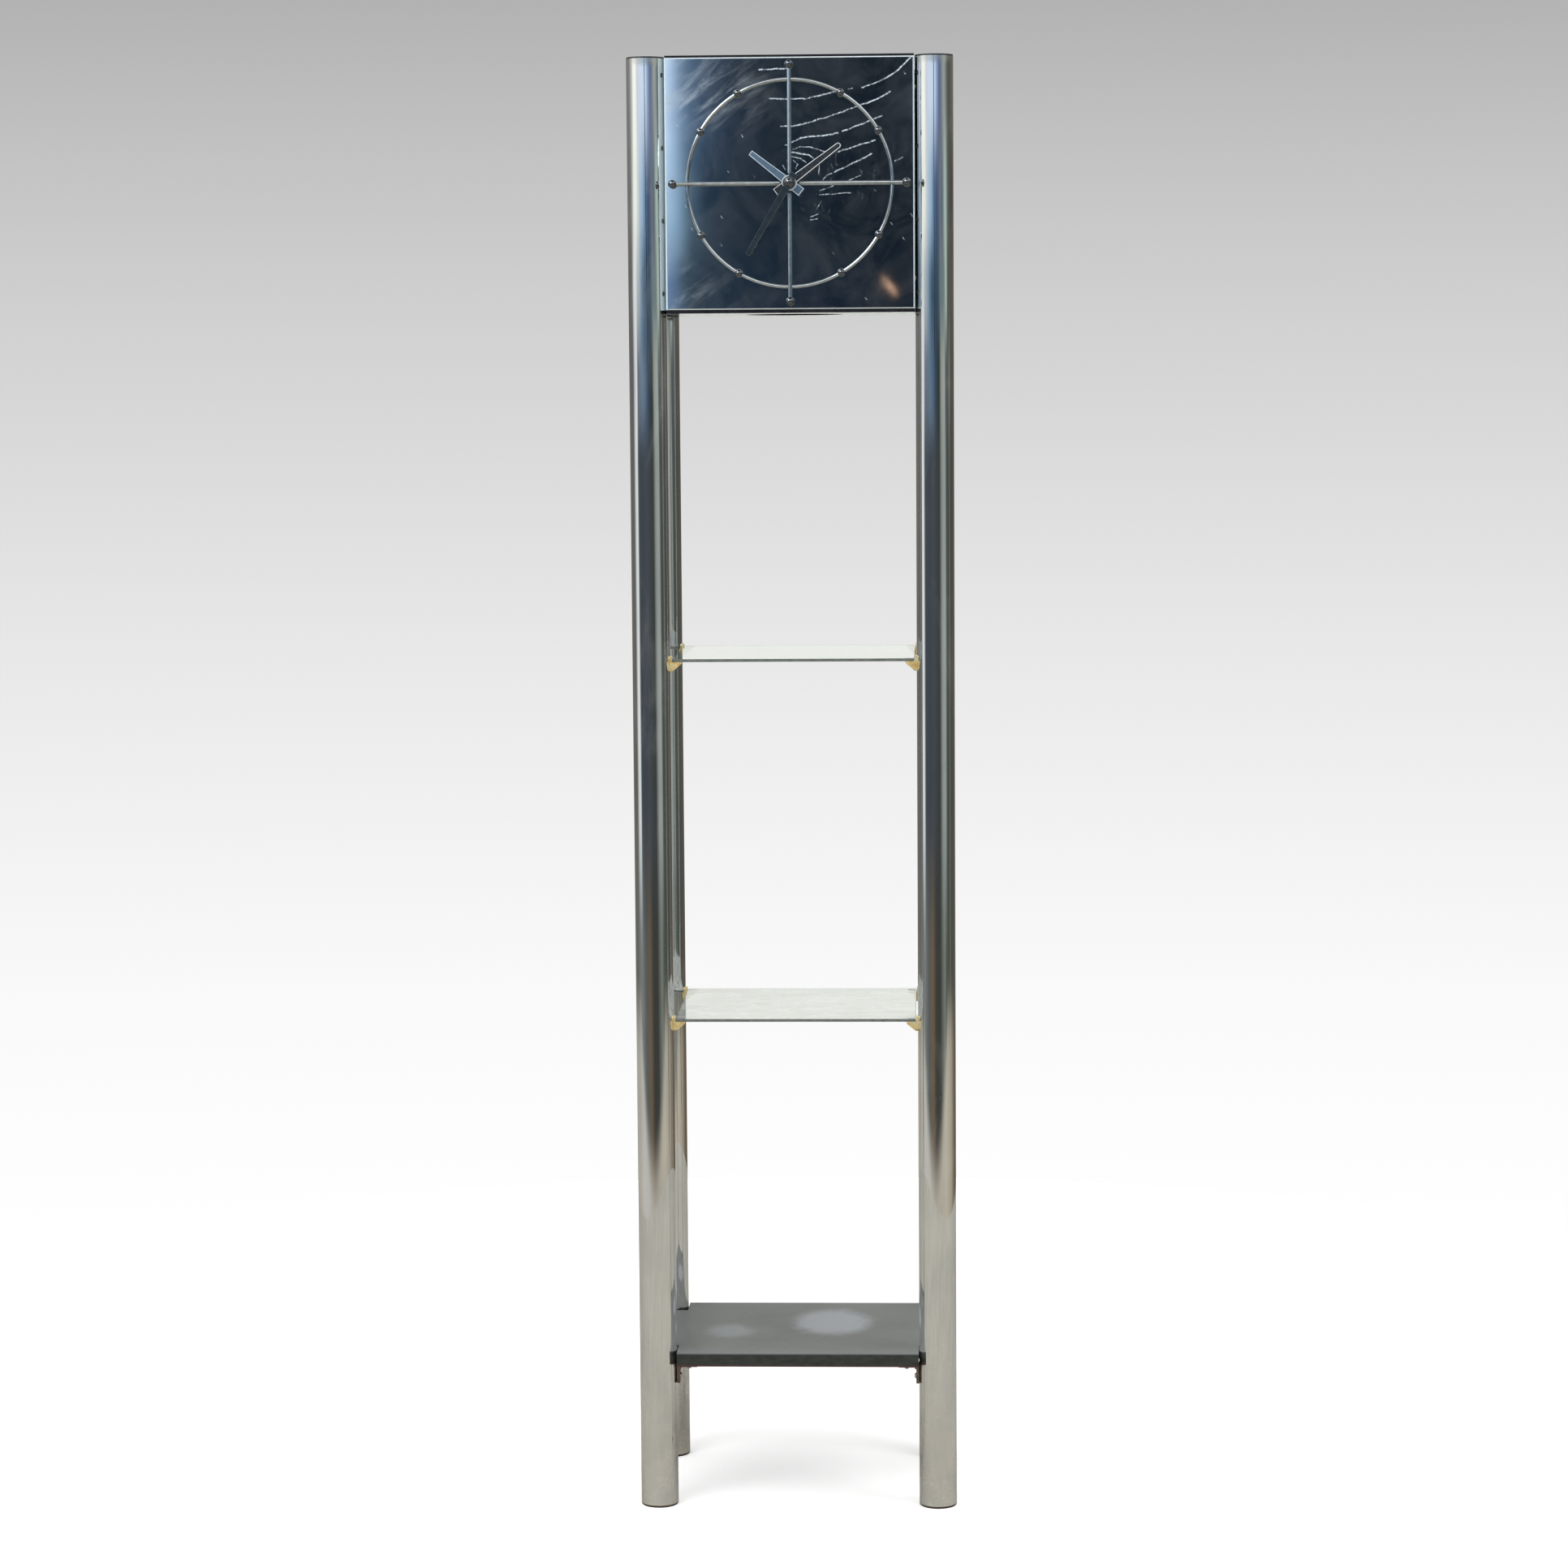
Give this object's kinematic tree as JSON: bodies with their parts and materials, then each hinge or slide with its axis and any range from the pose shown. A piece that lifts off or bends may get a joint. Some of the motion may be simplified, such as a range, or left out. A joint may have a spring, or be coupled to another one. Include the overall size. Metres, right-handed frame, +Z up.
{
  "type": "longcase clock",
  "caption": "Free-standing floor clock: square mirror head with ring-and-rod dial on four polished tube posts, two glass shelves and a base shelf",
  "frame": {"origin": "on the floor, at the bottom middle of the whole clock's bounding box", "axes": "+Z up, front of the clock toward -Y, +X to the right as seen from the front"},
  "size_m": [0.4318, 0.3297, 1.9559],
  "materials": {
    "polished_tube": "mirror polished",
    "black_trim": "satin",
    "brown_foot": "matte",
    "polished_face": "mirror polished, faint scuffs",
    "polished_sheet": "mirror polished",
    "black_panel": "glossy",
    "batten_wood": "sawn, unfinished",
    "fastener_steel": "plain",
    "insert_brass": "plain",
    "dial_chrome": "polished",
    "hour_hand_metal": "semi-gloss",
    "minute_hand_metal": "semi-gloss",
    "second_hand_metal": "semi-gloss",
    "cap_metal": "polished",
    "gasket_rubber": "matte",
    "housing_plastic": "fine spark texture",
    "board": "solder mask",
    "core_steel": "laminated",
    "coil_wire": "enamelled winding",
    "cell_jacket": "printed jacket, unmarked",
    "contact_spring": "plated",
    "rotor_magnet": "moulded magnet",
    "wheel_plastic": "moulded",
    "arbor_steel": "turned",
    "wheel_brass": "turned",
    "knob_plastic": "knurled",
    "shelf_glass": "clear float glass with ground edges",
    "clip_brass": "worn plating",
    "base_board": "painted board, worn satin with scuffs",
    "bracket_paint": "dark primer"
  },
  "bodies": {
    "frame": {"front_left_post": "polished_tube", "front_right_post": "polished_tube", "rear_left_post": "polished_tube", "rear_right_post": "polished_tube", "post_caps": "black_trim", "foot_plugs": "brown_foot", "face_plate": "polished_face", "left_side_panel": "polished_sheet", "right_side_panel": "polished_sheet", "rear_panel": "polished_sheet", "top_lid": "black_panel", "bottom_panel": "black_panel", "corner_battens": "batten_wood", "case_bolts": "fastener_steel", "bolt_inserts": "insert_brass", "panel_screws": "fastener_steel", "dial_ring": "dial_chrome", "dial_rods": "dial_chrome", "dial_nuts": "insert_brass", "movement_gasket": "gasket_rubber", "movement_washer": "insert_brass", "movement_nut": "insert_brass", "movement_front": "housing_plastic", "movement_rear": "housing_plastic", "movement_screws": "fastener_steel", "circuit_board": "board", "stator": "core_steel", "motor_coil": "coil_wire", "battery": "cell_jacket", "battery_contacts": "contact_spring", "upper_glass_shelf": "shelf_glass", "lower_glass_shelf": "shelf_glass", "upper_shelf_clips": "clip_brass", "lower_shelf_clips": "clip_brass", "base_shelf": "base_board", "base_brackets": "bracket_paint", "bracket_screws": "fastener_steel", "shelf_screws": "fastener_steel"},
    "second_hand_set": {"seconds_wheel": "arbor_steel", "second_hand": "second_hand_metal", "hand_cap": "cap_metal"},
    "minute_hand_set": {"minute_wheel": "arbor_steel", "minute_hand": "minute_hand_metal"},
    "hour_hand_set": {"hour_wheel": "wheel_brass", "hour_hand": "hour_hand_metal"},
    "motor_rotor": {"rotor": "rotor_magnet"},
    "intermediate_arbor": {"intermediate_wheel": "wheel_plastic"},
    "third_arbor": {"third_wheel": "wheel_plastic"},
    "motion_arbor": {"motion_wheel": "wheel_plastic"},
    "setting_shaft": {"setting_knob": "knob_plastic"}
  },
  "joints": [
    {"name": "second_hand_turn", "type": "hinge", "parent": "frame", "child": "second_hand_set", "pos_m": [0, -0.12028, 1.7882], "axis": [0, 1, 0], "continuous": true},
    {"name": "minute_hand_turn", "type": "hinge", "parent": "frame", "child": "minute_hand_set", "pos_m": [0, -0.12028, 1.7882], "axis": [0, 1, 0], "continuous": true},
    {"name": "hour_hand_turn", "type": "hinge", "parent": "frame", "child": "hour_hand_set", "pos_m": [0, -0.12028, 1.7882], "axis": [0, 1, 0], "continuous": true},
    {"name": "rotor_turn", "type": "hinge", "parent": "frame", "child": "motor_rotor", "pos_m": [-0.01403, -0.12028, 1.8075], "axis": [0, 1, 0], "continuous": true},
    {"name": "intermediate_turn", "type": "hinge", "parent": "frame", "child": "intermediate_arbor", "pos_m": [-0.01403, -0.12028, 1.7963], "axis": [0, 1, 0], "continuous": true},
    {"name": "third_turn", "type": "hinge", "parent": "frame", "child": "third_arbor", "pos_m": [0.0162, -0.12028, 1.7882], "axis": [0, 1, 0], "continuous": true},
    {"name": "motion_turn", "type": "hinge", "parent": "frame", "child": "motion_arbor", "pos_m": [-0.00554, -0.12028, 1.77298], "axis": [0, 1, 0], "continuous": true},
    {"name": "setting_turn", "type": "hinge", "parent": "frame", "child": "setting_shaft", "pos_m": [-0.02076, -0.12028, 1.76744], "axis": [0, 1, 0], "continuous": true}
  ],
  "couplings": [
    {"joint": "minute_hand_turn", "follows": "second_hand_turn", "ratio": 0.016667},
    {"joint": "hour_hand_turn", "follows": "second_hand_turn", "ratio": 0.0013889},
    {"joint": "rotor_turn", "follows": "second_hand_turn", "ratio": 30},
    {"joint": "intermediate_turn", "follows": "second_hand_turn", "ratio": -5},
    {"joint": "third_turn", "follows": "second_hand_turn", "ratio": -0.125},
    {"joint": "motion_turn", "follows": "second_hand_turn", "ratio": -0.0055556},
    {"joint": "setting_turn", "follows": "second_hand_turn", "ratio": 0.016667}
  ]
}
